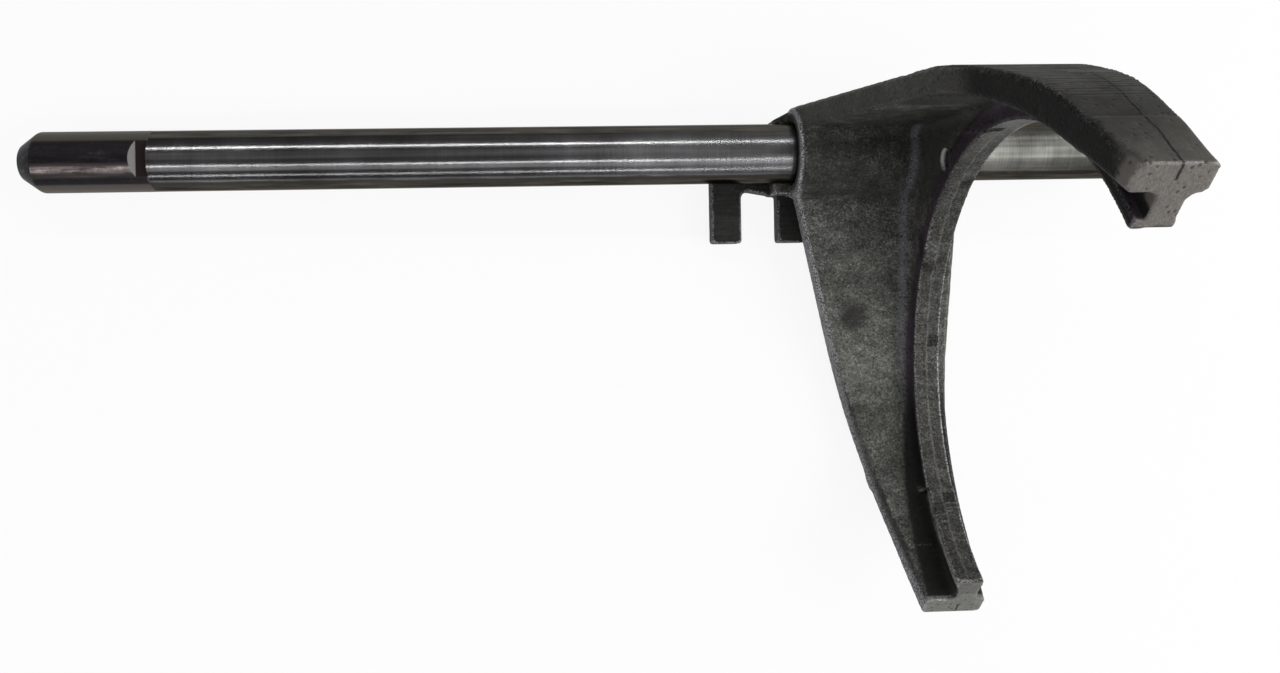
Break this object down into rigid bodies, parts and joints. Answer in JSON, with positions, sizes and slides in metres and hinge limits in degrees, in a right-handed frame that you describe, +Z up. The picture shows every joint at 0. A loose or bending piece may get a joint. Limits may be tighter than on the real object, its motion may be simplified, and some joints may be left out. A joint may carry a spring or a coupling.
{
  "type": "shift fork",
  "caption": "Cast gearbox shift fork with a half-round jaw on T-section arms, a slotted selector gate and a long ground rail through its hub.",
  "frame": {"origin": "centre of the bounding box in plan, on the bench that the part lies on", "axes": "+X along the rail from its notched end towards the jaw's end, to within 1.3 degrees, +Z up from the bench, -Y towards the lower arm's tip"},
  "size_m": [0.3708, 0.1672, 0.1656],
  "materials": {
    "fork": "as cast, oily, with ground pads",
    "rail": "ground, with light rust and oil",
    "lock_pin": "dark spring steel"
  },
  "bodies": {
    "root": {"fork": "fork", "rail": "rail", "lock_pin": "lock_pin"}
  },
  "joints": []
}
